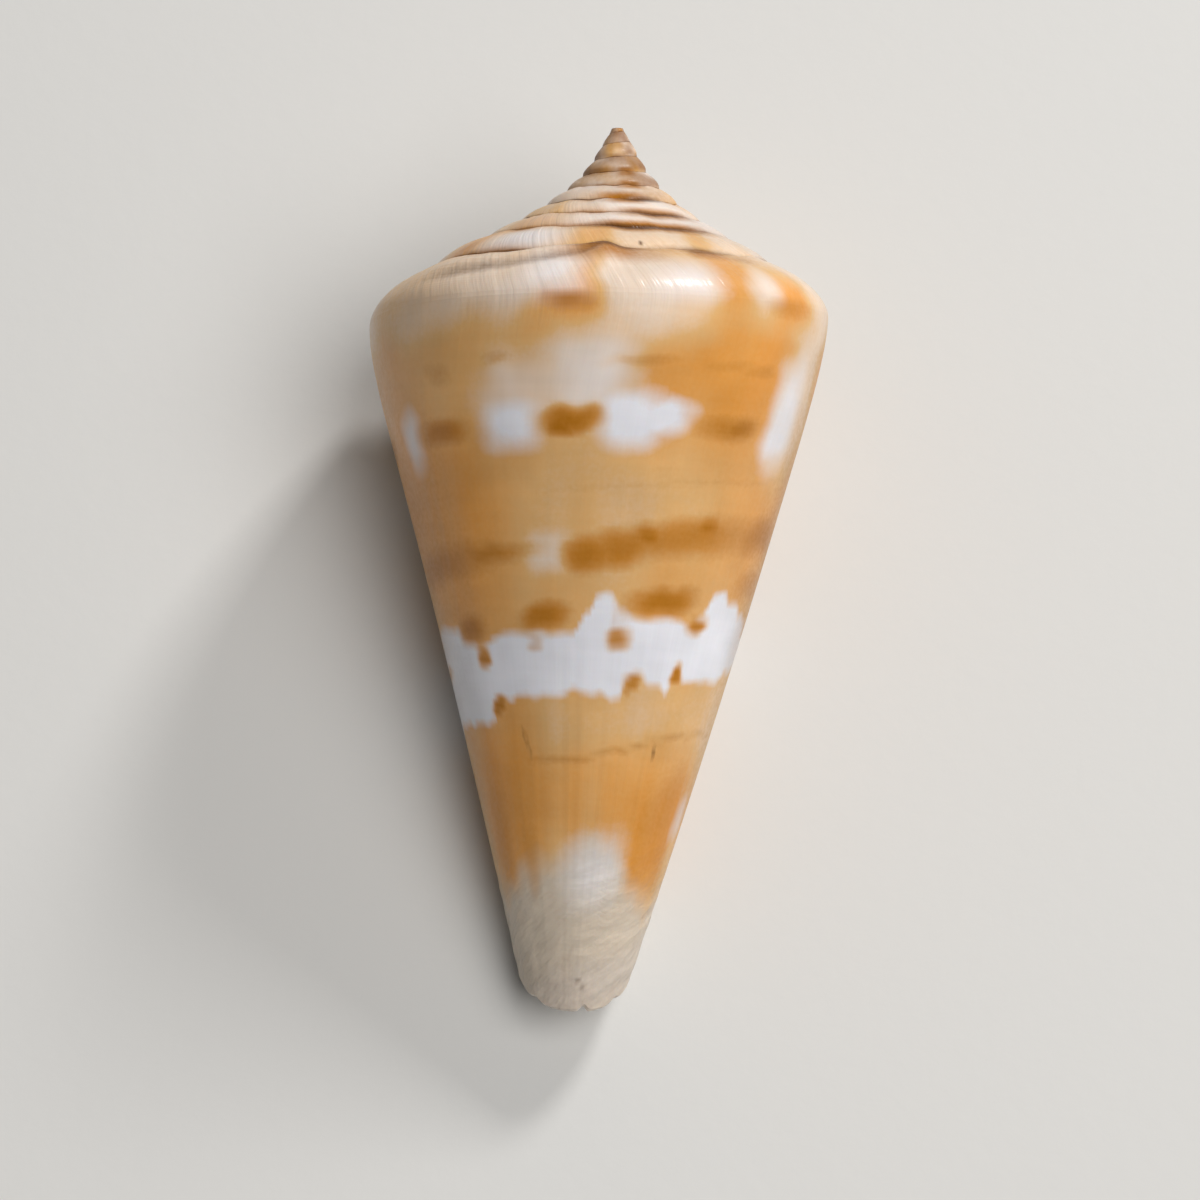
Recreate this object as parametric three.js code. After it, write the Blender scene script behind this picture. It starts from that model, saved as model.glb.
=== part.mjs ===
// A cone shell lying on its mouth, with its spire towards +Y.
//
// The shell is one piece, grown as a spiral. Its last whorl is a tall cone with a rounded shoulder.
// The earlier whorls show only as a stepped, pointed spire. The mouth is a long narrow slit on the
// underside, which winds inwards between the last whorl's wall and the whorl before it.
//
// In the shell's own frame the coiling axis is Z and the spire is up. A place on it is given by
// turns, counted back from the outer lip, and by travel down a whorl's outline: 0 at the suture,
// 1 at the shoulder, and more on the side below it. All sizes are in millimetres.

import * as THREE from 'three';
import { mergeVertices } from 'three/addons/utils/BufferGeometryUtils.js';

// Sizes of the whole shell
const shellLength = 65;
const lipShoulderRadius = 18.49;

// Growth: the shoulder shrinks by these powers of e for each turn, and for each turn squared
const shrinkPerTurn = 0.2683;
const shrinkPerTurnSquared = 0.0095;
const turnCount = 10;

// Spire: the suture climbs evenly to a blunt tip, and drops away over the last whorl
const lastSutureDepth = 10.1;
const climbPerTurn = 1.222;
const finalDrop = 1.83;
const finalDropTurns = 0.45;
const tipRounding = 0.6;

// Shoulder: how far it lies under its suture, as a share of its radius, and how straight the ramp is
const shoulderFall = 0.235;
const rampStraightness = 0.28;

// Side: radius at the base, and how soon the cone turns into the shoulder, as shares
const baseShare = 0.2054;
const shoulderEasing = 0.0443;
const easingSharpness = 16.2;
const sideStep = 0.35;

// The axis isn't quite straight: halfway up, the shell bows to its right by this much
const axisBow = 0.6;

// Growth lines lead the shoulder by this share of a turn on the side, over this height
const lineLead = 0.033;
const lineLeadHeight = 9;

// Mouth: where the lip stands, how far the slit winds in, and the wall beside it
const lipAngle = THREE.MathUtils.degToRad(122);
const slitTurns = 0.625;
const lipThickness = 0.9;
const wallThickness = 1.7;
const thickeningTurns = 0.1;
const thinnessAtBase = 0.55;
const ceilingThickness = 1.3;

// Columella: the whorl under the lip draws in towards the base
const tuckShare = 0.42;
const tuckPower = 1.3;
const tuckStart = 0.6;
const tuckEnd = 1.1;

// Base: a slanting cut, lowest on the back of the shell and a little to its right, with worn dents
const baseSlant = 6.6;
const baseFlatness = 1.4;
const baseTurn = THREE.MathUtils.degToRad(-8);
const columellaEnd = 2.2;
const columellaStart = 0.55;
const columellaFull = 0.9;
const rimDents = [
  { angle: -20, width: 5, depth: 0.4 },
  { angle: -62, width: 6, depth: 0.35 },
  { angle: 42, width: 6, depth: 0.3 },
  { angle: 78, width: 7, depth: 0.25 },
];

// Rest: the shell leans on its lip and belly, both worn flat where they touch
const restTilt = THREE.MathUtils.degToRad(13.5);
const restRoll = THREE.MathUtils.degToRad(0.9);
const wornDepth = 0.35;

// Mesh
const columnsPerTurn = 48;
const rampRows = 4;
const sideRows = 17;
const endCrowding = 0.4;
const weldDistance = 1e-3;

const { lerp, smoothstep } = THREE.MathUtils;
const fullTurn = 2 * Math.PI;

const shoulderRadius = (turns) =>
  lipShoulderRadius * Math.exp(-turns * (shrinkPerTurn + shrinkPerTurnSquared * turns));

// Softplus keeps the suture under the tip, and rounds the first whorls off to it.
function sutureHeight(turns) {
  const depth =
    lastSutureDepth - climbPerTurn * turns + finalDrop * Math.exp(-turns / finalDropTurns);
  return shellLength - tipRounding * Math.log1p(Math.exp(depth / tipRounding));
}

const shoulderHeight = (turns) => sutureHeight(turns) - shoulderFall * shoulderRadius(turns);

const positionAngle = (turns) => lipAngle - fullTurn * turns;

// Share of the shoulder's radius at a share of its height
const sideShare = (share) =>
  baseShare +
  (1 - baseShare + shoulderEasing) * share -
  shoulderEasing * Math.exp(-easingSharpness * (1 - share));

// The last whorl's side draws in towards the columella, and the whorls before it go on so.
const tuck = (turns, share) =>
  tuckShare * Math.pow(1 - share, tuckPower) * smoothstep(turns, tuckStart, tuckEnd);

const sideRadius = (turns, share) =>
  shoulderRadius(turns) * sideShare(share) * (1 - tuck(turns, share));

// The ramp's outline from suture to shoulder: how far out and how far down, as shares
function rampShares(travel) {
  const angle = (travel * Math.PI) / 2;
  const out = Math.sin(angle);
  return { out, down: rampStraightness * out + (1 - rampStraightness) * (1 - Math.cos(angle)) };
}

// The travel at which the ramp has fallen by a share of its height
function rampTravel(down) {
  const size = Math.hypot(rampStraightness, 1 - rampStraightness);
  const phase = Math.atan2(1 - rampStraightness, rampStraightness);
  return (phase + Math.asin((down - (1 - rampStraightness)) / size)) / (Math.PI / 2);
}

// Travel down the outline of a whorl at which it is at a given height
function travelAtHeight(turns, height) {
  const top = sutureHeight(turns);
  const shoulder = shoulderHeight(turns);
  if (height > shoulder) return rampTravel((top - height) / (top - shoulder));
  return 1 + (shoulder - height) / (sideStep * shoulderRadius(turns));
}

// A whorl starts where it meets the whorl before it, so its inner radius is read off that one.
function sutureRadius(turns) {
  const before = turns + 1;
  if (turns > turnCount - 1) return 0.985 * shoulderRadius(before);
  const travel = travelAtHeight(before, sutureHeight(turns));
  if (travel >= 1) {
    return sideRadius(before, sutureHeight(turns) / shoulderHeight(before));
  }
  return lerp(sutureRadius(before), shoulderRadius(before), rampShares(travel).out);
}

function rimHeight(turns) {
  const angle = positionAngle(turns);
  const cut = baseSlant * Math.pow((1 - Math.cos(angle - baseTurn)) / 2, baseFlatness);
  const height = lerp(cut, columellaEnd, smoothstep(turns, columellaStart, columellaFull));
  const degrees = THREE.MathUtils.radToDeg(angle);
  const dents = rimDents.map((d) => d.depth * Math.exp(-(((degrees - d.angle) / d.width) ** 2)));
  return height + dents.reduce((sum, dent) => sum + dent, 0);
}

const wall = (turns, share) =>
  lerp(lipThickness, wallThickness, smoothstep(turns, 0, thickeningTurns)) *
  lerp(thinnessAtBase, 1, share);

// Everything that one growth step needs: one column of the mesh
function growthStep(turns) {
  const attached = Math.max(turns, 1);
  const meet = travelAtHeight(attached, sutureHeight(attached - 1));
  const under = travelAtHeight(attached, sutureHeight(attached - 1) - ceilingThickness);
  const step = {
    turns,
    radius: shoulderRadius(turns),
    sutureRadius: sutureRadius(turns),
    sutureHeight: sutureHeight(turns),
    shoulderHeight: shoulderHeight(turns),
    rimHeight: rimHeight(turns),
    meet,
    under,
  };
  step.rim = 1 + (step.shoulderHeight - step.rimHeight) / (sideStep * step.radius);
  step.leadFrom = outline(step, meet).height;
  return step;
}

// Radius and height of the outer skin at a growth step
function outline(step, travel) {
  if (travel <= 1) {
    const { out, down } = rampShares(travel);
    return {
      radius: lerp(step.sutureRadius, step.radius, out),
      height: lerp(step.sutureHeight, step.shoulderHeight, down),
    };
  }
  const height = step.shoulderHeight - (travel - 1) * sideStep * step.radius;
  return { radius: sideRadius(step.turns, height / step.shoulderHeight), height };
}

// Radius and height of the wall's inner face. Its ramp ends on the whorl before it.
function innerOutline(step, travel) {
  if (travel <= 1) {
    const before = growthStep(step.turns + 1);
    const start = outline(before, before.under);
    const { out, down } = rampShares(travel);
    const thickness = wall(step.turns, 1);
    return {
      radius: lerp(start.radius, step.radius - thickness, out),
      height: lerp(start.height, step.shoulderHeight - thickness / 2, down),
    };
  }
  const outside = outline(step, travel);
  const share = outside.height / step.shoulderHeight;
  const fallen = Math.min(1, (travel - 1) / 0.5);
  return {
    radius: outside.radius - wall(step.turns, share),
    height: outside.height - (1 - fallen) * (wall(step.turns, 1) / 2),
  };
}

function placed(step, { radius, height }) {
  const lead = lineLead * (1 - Math.exp(-Math.max(0, step.leadFrom - height) / lineLeadHeight));
  const angle = positionAngle(step.turns) + fullTurn * lead;
  const bow = axisBow * (1 - ((2 * height) / shellLength - 1) ** 2);
  return new THREE.Vector3(bow - radius * Math.sin(angle), -radius * Math.cos(angle), height);
}

// Rows crowd towards both ends of a stretch.
const crowded = (share) => share - (endCrowding * Math.sin(fullTurn * share)) / fullTurn;

const stretch = (from, to, rows) =>
  Array.from({ length: rows + 1 }, (_, row) => lerp(from, to, crowded(row / rows)));

// Travels of a whole column of the last whorl: ramp, the strip where the next turn's edge is
// fused on, and side
const bodyTravels = (step) => [
  ...stretch(0, step.meet, rampRows),
  ...stretch(step.under, step.rim, sideRows),
];

const spireColumn = (step) =>
  stretch(0, step.meet, rampRows).map((travel) => placed(step, outline(step, travel)));

const bodyColumn = (step) =>
  bodyTravels(step).map((travel) => placed(step, outline(step, travel)));

const bellyColumn = (step) =>
  stretch(step.under, step.rim, sideRows).map((travel) => placed(step, outline(step, travel)));

// The inner face starts on the belly, so its first point is the belly column's own.
function innerColumn(step) {
  const before = growthStep(step.turns + 1);
  const first = placed(before, outline(before, before.under));
  const rest = bodyTravels(step).slice(1);
  return [first, ...rest.map((travel) => placed(step, innerOutline(step, travel)))];
}

// A soup of triangles, welded at the end
class Skin {
  corners = [];

  triangle(a, b, c) {
    this.corners.push(a, b, c);
  }

  quad(a, b, c, d) {
    this.triangle(a, b, c);
    this.triangle(a, c, d);
  }

  // Columns run back from the lip, and each runs down. The faces look out, or in if turned.
  sheet(columns, turned = false) {
    for (let i = 0; i + 1 < columns.length; i++) {
      for (let j = 0; j + 1 < columns[i].length; j++) {
        const ring = [columns[i][j], columns[i][j + 1], columns[i + 1][j + 1], columns[i + 1][j]];
        this.quad(...(turned ? ring.reverse() : ring));
      }
    }
  }

  // Fills a closed loop, laid flat by a function that turns each point into two numbers
  cap(loop, flatten) {
    const flat = loop.map(flatten);
    if (THREE.ShapeUtils.isClockWise(flat)) {
      flat.reverse();
      loop = [...loop].reverse();
    }
    for (const face of THREE.ShapeUtils.triangulateShape(flat, [])) {
      this.triangle(...face.map((corner) => loop[corner]));
    }
  }

  fan(loop, tip) {
    loop.forEach((point, i) => this.triangle(point, loop[(i + 1) % loop.length], tip));
  }

  geometry() {
    const soup = new THREE.BufferGeometry().setFromPoints(this.corners);
    return mergeVertices(soup, weldDistance);
  }
}

const last = (list) => list[list.length - 1];

function shellSkin() {
  const skin = new Skin();
  const steps = Array.from({ length: turnCount * columnsPerTurn + 1 }, (_, i) =>
    growthStep(i / columnsPerTurn),
  );
  const slitColumns = Math.round(slitTurns * columnsPerTurn);

  const body = steps.slice(0, columnsPerTurn + 1).map(bodyColumn);
  const spire = steps.slice(columnsPerTurn).map(spireColumn);
  const inner = steps.slice(0, slitColumns + 1).map(innerColumn);
  const belly = steps.slice(columnsPerTurn, columnsPerTurn + slitColumns + 1).map(bellyColumn);

  skin.sheet(body);
  skin.sheet(spire);
  skin.sheet(inner, true);
  skin.sheet(belly);

  // Lip edge, and the wall's rim at the base
  skin.sheet([inner[0], body[0]]);
  skin.sheet([body.slice(0, slitColumns + 1).map(last), inner.map(last)], true);

  // The slit's blind end, seen in the plane of the axis
  const deepInner = last(inner);
  const deepBelly = last(belly);
  const blindEnd = [...[...deepInner].reverse(), ...deepBelly.slice(1)];
  skin.cap(blindEnd, (p) => new THREE.Vector2(Math.hypot(p.x, p.y), p.z));

  // The columella's end, seen from below
  const columella = [...body.slice(slitColumns).map(last), ...belly.slice(1).map(last)];
  columella.push(last(deepInner));
  skin.cap(columella, (p) => new THREE.Vector2(p.x, -p.y));

  // The tip of the spire, over the first turn's inner edge
  const firstTurn = spire.slice(-columnsPerTurn - 1);
  const tipLoop = [...firstTurn.map((column) => column[0]), ...last(spire).slice(1, -1)];
  skin.fan(tipLoop, new THREE.Vector3(0, 0, shellLength));
  return skin;
}

// Lays the shell on its mouth, wears the spots that touch flat, and puts the origin under the middle.
function atRest(geometry) {
  geometry.rotateZ(restRoll);
  geometry.rotateX(restTilt - Math.PI / 2);
  geometry.computeBoundingBox();
  geometry.translate(0, 0, -geometry.boundingBox.min.z - wornDepth);
  const places = geometry.getAttribute('position');
  for (let i = 0; i < places.count; i++) places.setZ(i, Math.max(0, places.getZ(i)));
  geometry.computeBoundingBox();
  const middle = geometry.boundingBox.getCenter(new THREE.Vector3());
  return geometry.translate(-middle.x, -middle.y, 0);
}

const shellMaterial = new THREE.MeshStandardMaterial({
  color: 0xd9a66c,
  roughness: 0.35,
  metalness: 0,
});

const shell = new THREE.Mesh(atRest(shellSkin().geometry()), shellMaterial);
shell.name = 'shell';

const coneShell = new THREE.Group();
coneShell.add(shell);

export default coneShell;
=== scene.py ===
"""A cone shell lying on its mouth, with its spire away from the camera.

The shell grew as one coiled tube. A place on it is given by turns, counted back from the outer
lip, and by travel down the outline of its whorl: 0 at the suture, 1 at the shoulder, more below.
Its own frame has the coiling axis upright and the spire on top, in millimetres. The last steps lay
it down as the model has it, and turn millimetres into metres.
"""
import math

import bmesh
import bpy
import numpy as np
from mathutils import Matrix, Vector


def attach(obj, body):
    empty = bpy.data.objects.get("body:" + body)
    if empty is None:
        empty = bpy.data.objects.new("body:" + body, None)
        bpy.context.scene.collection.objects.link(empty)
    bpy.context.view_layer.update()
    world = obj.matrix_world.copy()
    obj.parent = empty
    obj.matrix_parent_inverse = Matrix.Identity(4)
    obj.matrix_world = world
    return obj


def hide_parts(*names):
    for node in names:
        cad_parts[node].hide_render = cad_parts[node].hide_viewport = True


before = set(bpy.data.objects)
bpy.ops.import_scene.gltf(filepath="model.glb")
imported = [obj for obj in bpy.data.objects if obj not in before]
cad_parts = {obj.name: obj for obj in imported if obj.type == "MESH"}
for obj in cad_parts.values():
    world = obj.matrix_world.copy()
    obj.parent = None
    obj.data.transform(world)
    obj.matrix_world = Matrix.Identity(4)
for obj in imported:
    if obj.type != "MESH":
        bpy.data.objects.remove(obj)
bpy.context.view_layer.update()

bl_info = {
    "name": "Cone Shell",
    "version": (1, 0, 0),
    "blender": (4, 5, 0),
    "location": "3D View > Sidebar > Shell",
    "description": "Grows a banded cone shell as one closed mesh, and sets a small studio round it",
    "category": "Add Mesh",
}

# The shell's form, in millimetres and turns

SHELL_LENGTH = 65.0
LIP_SHOULDER_RADIUS = 18.49
SHRINK_PER_TURN = 0.2683
SHRINK_PER_TURN_SQUARED = 0.0095
TURN_COUNT = 10

LAST_SUTURE_DEPTH = 10.1
CLIMB_PER_TURN = 1.222
FINAL_DROP = 1.83
FINAL_DROP_TURNS = 0.45
TIP_ROUNDING = 0.6
# The first whorl's inner radius, as a share of its own
FIRST_SEAM_SHARE = 0.985

SHOULDER_FALL = 0.235
RAMP_STRAIGHTNESS = 0.28
# The first whorls have sloping sides, with hardly a shoulder
LEAST_RAMP_FALL = 0.9
FALL_BLEND = 4
EARLY_STRAIGHTNESS = 0.68
EARLY_TURNS = (3.5, 7.0)

BASE_SHARE = 0.2054
SHOULDER_EASING = 0.0443
EASING_SHARPNESS = 18.9
SIDE_STEP = 0.35

AXIS_BOW = 0.6
LINE_LEAD = 0.033
LINE_LEAD_HEIGHT = 9.0
# Growth lines slant by this many turns across the ramp, and bend at the shoulder this sharply
LINE_SLANT = 0.035
LINE_BEND = 5

LIP_ANGLE = math.radians(122)
SLIT_TURNS = 0.625
LIP_THICKNESS = 0.9
WALL_THICKNESS = 1.7
THICKENING_TURNS = 0.1
THINNESS_AT_BASE = 0.55
CEILING_THICKNESS = 1.3
CEILING_EASING = 0.5
LIP_BULGE, LIP_BULGE_FROM_TOP, LIP_BULGE_FROM_BASE = 0.3, 8, 12
LIP_TOP_ROWS = 3
RIM_BULGE, RIM_BULGE_TURNS = 0.2, 0.05

TUCK_SHARE = 0.42
TUCK_POWER = 1.3
TUCK_START = 0.6
TUCK_END = 1.1

BASE_SLANT = 6.6
BASE_FLATNESS = 1.4
BASE_TURN = math.radians(-8)
COLUMELLA_END = 2.2
COLUMELLA_START = 0.55
COLUMELLA_FULL = 0.9
COLUMELLA_PIT = 0.5
COLUMELLA_BULGE, COLUMELLA_BULGE_START = 0.35, 0.5
# angle in degrees, width in degrees, depth in millimetres
RIM_DENTS = ((-20, 5, 0.4), (-62, 6, 0.35), (42, 6, 0.3), (78, 7, 0.25))

REST_TILT = math.radians(13.5)
REST_ROLL = math.radians(0.9)
WORN_DEPTH = 0.35

# Relief, in millimetres unless its name says otherwise

# Slips of the seam: seed of the noise, how many a turn, height
SEAM_SLIPS = ((3, 22, 0.09), (4, 55, 0.06))
# Ripples along the growth lines: seed, how many a turn, how fast they change with travel, height
FINE_RIPPLES = (11, 120, 0.3, 0.012)
FINE_RIPPLES_ON_RAMP = 0.008
RIPPLES = ((12, 31, 0.2, 0.03), (13, 7, 0, 0.05))
RAMP_ENDS = (0.8, 1.3)
# Travel over which the ripples start under their own seam, and end at the next one
RIPPLE_START, RIPPLE_END = 0.12, 0.06
# Whorls smaller than this radius have less of it
FULL_SLIP_RADIUS, FULL_RIPPLE_RADIUS, FULL_BEAD_RADIUS = 12, 10, 6
KNOB_TURNS = 0.325
KNOB_WIDTH_TURNS = 0.013
KNOB_HEIGHT = 0.38
CORD_PERIOD = 2.1
CORD_RISE_PER_TURN = 13
CORD_DEPTH = 0.035
CORDS_FULL, CORDS_END = 6.5, 12.5
CORD_WANDER, WANDERS_PER_TURN, WANDERS_PER_MM = 0.3, 11, 0.3
CORD_BEADS_PER_TURN, CORD_BEADS_PER_MM = 26, 0.9
CORD_MEAN = 0.8
SEAM_BEAD = 0.13
BEAD_MEAN, BEAD_VARIATION, BEADS_PER_TURN = 0.65, 0.5, 33
BEAD_WIDTH, BEAD_EDGE = 0.14, 0.05
# The turn by which a whorl has the seam of the next one on it
JOINED_TURNS = (0.96, 1)
# An old break that crosses the last ramp: angle in degrees and travel
FOLD = ((4, 0.02), (10, 0.15), (20, 0.27), (30, 0.36), (42, 0.44), (60, 0.56))
FOLD_HEIGHT = 0.3
FOLD_GROOVE = 0.1
# Angles between which it rises at one end and sinks at the other
FOLD_START, FOLD_END = (2, 8), (44, 64)
# How far the ridge and the groove of the break lie from its path, and their width, as travel
FOLD_RIDGE_AT, FOLD_RIDGE_WIDTH = -0.12, 0.13
FOLD_GROOVE_AT, FOLD_GROOVE_WIDTH = 0.06, 0.1

# Rows of the mesh: ramp, the strip where the wall's edge is fused on, and side. All are even,
# because hidden and small patches keep only every second row and column inside.
COLUMNS_PER_TURN = 320
RAMP_ROWS = 24
EDGE_ROWS = 4
SIDE_ROWS = 130
COLUMELLA_ROWS = 10
END_CROWDING = 0.4
COARSE_SPIRE_TURN = 2
WELD_DISTANCE = 2e-7
CREASE_ANGLE = math.radians(38)
BASE_TRAVEL = 9

# Markings. An angle is in degrees round the axis, to the left of the view where it is positive,
# and it counts on as the tube winds back: the same side of the whorl before is 360 less.
# On the side a height is in millimetres. The rows of marks climb as they wind back.

ROW_CLIMB_PER_TURN = 9.0
MARK_SQUARENESS = 2.6
BAND_SOFTNESS = 0.5
BASE_SOFTNESS = 2.3
# A brown mark has an orange halo, this many times as large
HALO_SIZE = 1.3
HALO_TONE = 0.95
HALO_SOFTNESS = 0.6
HALO_STRENGTH = 1.2
# Stretches of the side that the photograph doesn't show, as angles
HIDDEN_STRETCHES = ((140, 88), (-92, -250))
# Chance in the marks there: spread of the height, and ranges of the other values as shares
HIDDEN_HEIGHT_SPREAD = 0.4
HIDDEN_WIDTHS, HIDDEN_HEIGHTS, HIDDEN_SOFTNESS = (0.2, 0.38), (0.6, 1.2), (0.4, 0.6)
HIDDEN_VALUES, HIDDEN_SPACINGS = (0.7, 1.0), (0.8, 1.3)
# Rows of such marks: height, half height, spacing in degrees, value
HIDDEN_TONES = ((44.5, 3.0, 45, 1.0), (13, 3.5, 50, 1.0))
HIDDEN_SHOULDER_ROW = (41.7, 0.9, 36, 1.0)
HIDDEN_BROWNS = ((28.3, 1.1, 34, 1.0), (26.0, 0.6, 40, 0.8), (32.9, 1.3, 30, 0.7), (46.0, 0.45, 32, 0.4))
# A white patch lies this many degrees beyond each brown mark of the shoulder row, where it is hidden
HIDDEN_WHITE_STEP, HIDDEN_WHITE_DROP = 18, 0.2
HIDDEN_WHITE = (9, 1.7, 0.8, 0.9)
SEEN_ANGLES = (-85, 100)

# Noise in the markings: seed, mean, size, and how long one bump is across and along. Across is in
# degrees, or in turns where it is a fraction. Along is in millimetres, or in travel on the ramps.
MARK_NOISE = {
    "angle": (31, 0, 1.6, 6, 1.3),
    "height": (32, 0, 0.2, 5, 2.5),
    "side_start": (36, 0, 0.12, 9, 1),
    "side_tone": (41, 0.55, 0.15, 22, 4),
    "ramp_tone": (42, 0.2, 0.35, 1 / 11, 1 / 0.8),
    "tone_lines": (43, 0, 0.09, 1 / 38, 7),
    "mottling": (55, 0, 1, 14, 1.6),
    "blotches": (51, 0.3, 0.7, 1 / 13, 1),
    "wear": (53, 0.5, 0.4, 1 / 9, 1 / 1.3),
    "seam_dirt_and_shade": (52, 0.65, 0.6, 1 / 14, 1),
    "band_edge": (34, 0, 0.25, 4, 2),
    "paleness": (54, 0, 1, 1 / 6, 1),
    "base_edge": (37, 0, 0.8, 12, 2),
}
# Travel over which the side's markings take over from the ramp's
SIDE_START = (0.95, 1.55)
THIN_LINE_VALUE, THIN_LINE_WIDTH = 0.45, 0.3
THIN_LINE_START, THIN_LINE_END = (-85, -60), (30, 42)
MOTTLING, MOTTLED_ABOVE, MOTTLED_HEIGHTS = 0.14, (-0.2, 0.8), (7, 12)
# Widths of the brown beside a seam, and of the dark line of dirt and painted shade in its crease, as
# travel below it and above the next one
SEAM_BROWN = (0.12, 0.16)
SEAM_DIRT_AND_SHADE = (0.05, 0.07)
# The first whorls are worn and stained, from one of these turns to the other
WORN_TURNS, WORN_BROWN, WORN_STAIN = (2.6, 6.2), 0.8, 0.7
# How much darker the old break's groove is painted, and how wide as travel
BREAK_DARKENING, BREAK_DARKENING_WIDTH = 0.5, 0.1
PALE_WHORLS, PALE_TURNS, PALE_ABOVE = 0.32, (1.6, 2.4), (-0.5, 0.6)
# The glaze begins this many turns from the lip, where the mouth lays bare the whorl before
GLAZE_TURNS = (0.98, 1.05)

# The white band's upper and lower edge, and the top of the white base: angle, height
BAND_TOP = (
    (135, 24.9), (120, 26.2), (104, 25.6), (95, 26.9), (80, 27.2), (60, 27), (52, 25.8),
    (43, 26.6), (34, 26.9), (26, 26.8), (12, 26.9), (6, 28.4), (3, 29.5), (-2, 29.6),
    (-6, 28.8), (-10, 28.3),
    (-28, 28.3), (-34, 27.9), (-39, 28.6), (-44, 30.3), (-50, 30.6), (-54, 29.8), (-59, 29.9),
    (-66, 29),
    (-80, 28.6), (-95, 29.6), (-104, 31.4), (-113, 29.6), (-128, 30.6), (-139, 32.6),
    (-150, 30.8), (-166, 31.6), (-178, 33.4), (-190, 31.5), (-210, 33.2), (-225, 34.6),
    (-245, 33.4),
)
BAND_BOTTOM = (
    (135, 18.8), (120, 19.9), (95, 19.6), (80, 20.2), (50, 20.4), (48, 21.9), (40, 22.2),
    (20, 22.3), (9, 22.9), (2, 22.7), (-8, 22.3), (-11, 23.6), (-16, 23.8), (-25, 23.5),
    (-29, 22.9), (-33, 24.3), (-36, 23.9), (-60, 24.1), (-70, 24.9), (-80, 25.2), (-95, 25.4),
    (-110, 24.6), (-112, 25.9), (-135, 26.5), (-150, 25.8), (-170, 27.4), (-185, 27),
    (-200, 28.3), (-225, 28.9), (-245, 29.2),
)
BASE_TOP = (
    (135, 9), (95, 8.6), (80, 8), (60, 8.4), (40, 9.7), (28, 10.4), (18, 10.8), (9, 11.6),
    (-3, 12), (-13, 11.8), (-20, 11.1), (-25, 10), (-34, 8.6), (-45, 8), (-60, 7.8),
    (-80, 8.4), (-100, 9.4), (-125, 8.4), (-150, 10), (-180, 9.1), (-210, 10.2), (-245, 9.6),
)
THIN_LINE = ((40, 17.6), (32, 17.7), (9, 18), (-11, 18.7), (-28, 19.5), (-45, 20), (-60, 20.3))

# Marks on the side: angle, height, half its width in degrees, half its height, softness, value.
# Tone goes from 0, pale cream, through 0.5, tan, to 1, orange.
SIDE_TONES = (
    (0, 37, 60, 4, 0.8, 0.48), (64, 36, 28, 11, 0.9, 0.95),
    (-62, 36, 24, 7, 0.8, 0.8), (54, 47.8, 26, 3, 0.9, 0.74),
    (24, 48.3, 16, 1.8, 0.8, 0.55), (-36, 46.5, 24, 6, 0.7, 0.95),
    (10, 49, 12, 1.8, 0.8, 0.7), (-9, 45.9, 8, 1.8, 0.6, 0.8),
    (-12, 49.6, 12, 2, 0.9, 0.15), (42, 44.5, 16, 3, 0.8, 0.6),
    (25, 44.2, 8, 2.2, 0.8, 0.15), (8, 45.2, 10, 2.9, 0.8, -0.1),
    (-64, 45.5, 10, 5.5, 0.7, 0.05), (19, 32.4, 7, 1.2, 0.8, 0),
    (5, 20.3, 50, 1.8, 0.7, 0.42), (0, 15.4, 34, 2.8, 0.8, 0.75),
    (52, 14.5, 22, 6.5, 0.7, 1), (-44, 12.9, 22, 4.6, 0.7, 1),
)
# Brown marks on the side. Most are spots. Two of them, at -80 and 84 degrees, are painted shade that
# darkens the side's right and left edges, and their halos make those edges more orange.
SIDE_BROWNS_AND_EDGE_SHADE = (
    (52, 40.9, 8.5, 0.8, 0.85, 0.9), (11, 41.7, 6.5, 0.75, 0.9, 0.95),
    (14, 41.2, 3, 0.5, 0.8, 1), (-34, 41.9, 9.5, 0.8, 0.85, 0.7),
    (-39, 42, 5, 0.65, 0.8, 0.9), (31, 45.8, 4, 0.45, 0.8, 0.35),
    (50, 44.9, 4, 0.8, 0.8, 0.35), (-8, 46.1, 7, 0.4, 0.8, 0.4),
    (-31, 46.2, 7, 0.4, 0.8, 0.3), (-42, 46.1, 5, 0.45, 0.8, 0.4),
    (68, 31.5, 24, 1.2, 0.85, 0.75), (42, 32.3, 13, 0.6, 0.8, 0.75),
    (7, 32.5, 6.5, 1.2, 0.85, 0.85), (-4, 33, 10, 1.2, 0.9, 0.8),
    (-28, 34, 26, 1.2, 0.9, 0.72), (-12, 33.9, 4, 0.8, 0.8, 0.9),
    (-34, 34.7, 6, 0.6, 0.8, 0.95), (-64, 34.8, 16, 1.3, 0.7, 0.8),
    (55, 27.1, 6.5, 0.9, 0.8, 0.95), (52, 24.9, 2.8, 0.5, 0.7, 0.85),
    (23, 28, 9, 0.85, 0.8, 0.85), (26, 25.8, 2.6, 0.4, 0.8, 0.35),
    (-5, 26.5, 4, 0.6, 0.8, 0.7), (-4, 27.9, 1.6, 0.9, 0.9, 0.2),
    (-22, 29.4, 12, 0.95, 0.75, 0.9), (-38, 27.8, 4, 0.45, 0.7, 0.85),
    (-68, 31.4, 12, 1, 0.7, 0.6), (47, 21.5, 2.8, 0.55, 0.6, 0.9),
    (-12, 23.5, 3.5, 0.6, 0.7, 0.7), (-33, 24.4, 2.4, 0.6, 0.6, 0.9),
    (38, 10.6, 5, 3, 0.9, 0.3), (60, 12.5, 9, 3.5, 0.8, 0.3),
    # The (-80, 37) mark on this line and the (84, 37) mark on the next one are painted edge shade
    (-48, 12.5, 18, 4.5, 0.9, 0.4), (-80, 37, 14, 10, 0.9, 0.25),
    (84, 37, 14, 10, 0.9, 0.2), (-27, 37.9, 60, 0.35, 0.9, 0.2),
    (-16, 38.5, 5, 0.9, 0.8, 0.14),
)
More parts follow.
